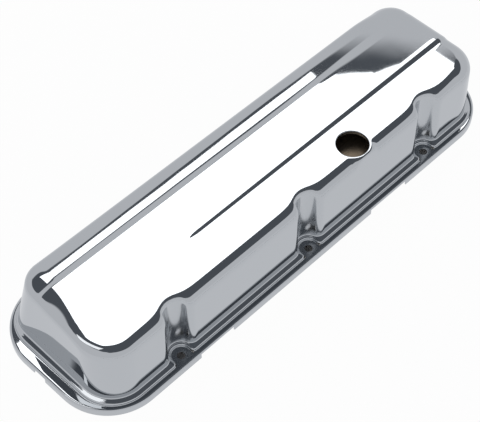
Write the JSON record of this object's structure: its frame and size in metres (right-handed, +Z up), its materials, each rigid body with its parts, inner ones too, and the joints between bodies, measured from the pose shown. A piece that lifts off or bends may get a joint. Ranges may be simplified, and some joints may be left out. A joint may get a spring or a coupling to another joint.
{
  "type": "engine valve cover",
  "caption": "Chromed pressed-steel engine valve cover with bolt scoops, a stepped flange, a notched turned-down lip and an open breather hole over a splash baffle",
  "frame": {"origin": "middle of the rectangle that the lip's foot stands on", "axes": "+X along the cover, -Y the side with three bolt holes, +Y the side with four, +Z up"},
  "size_m": [0.544, 0.1662, 0.082],
  "materials": {
    "chromed_steel": "polished",
    "baffle_steel": "satin"
  },
  "bodies": {
    "root": {"cover_shell": "chromed_steel", "splash_baffle": "baffle_steel"}
  },
  "joints": []
}
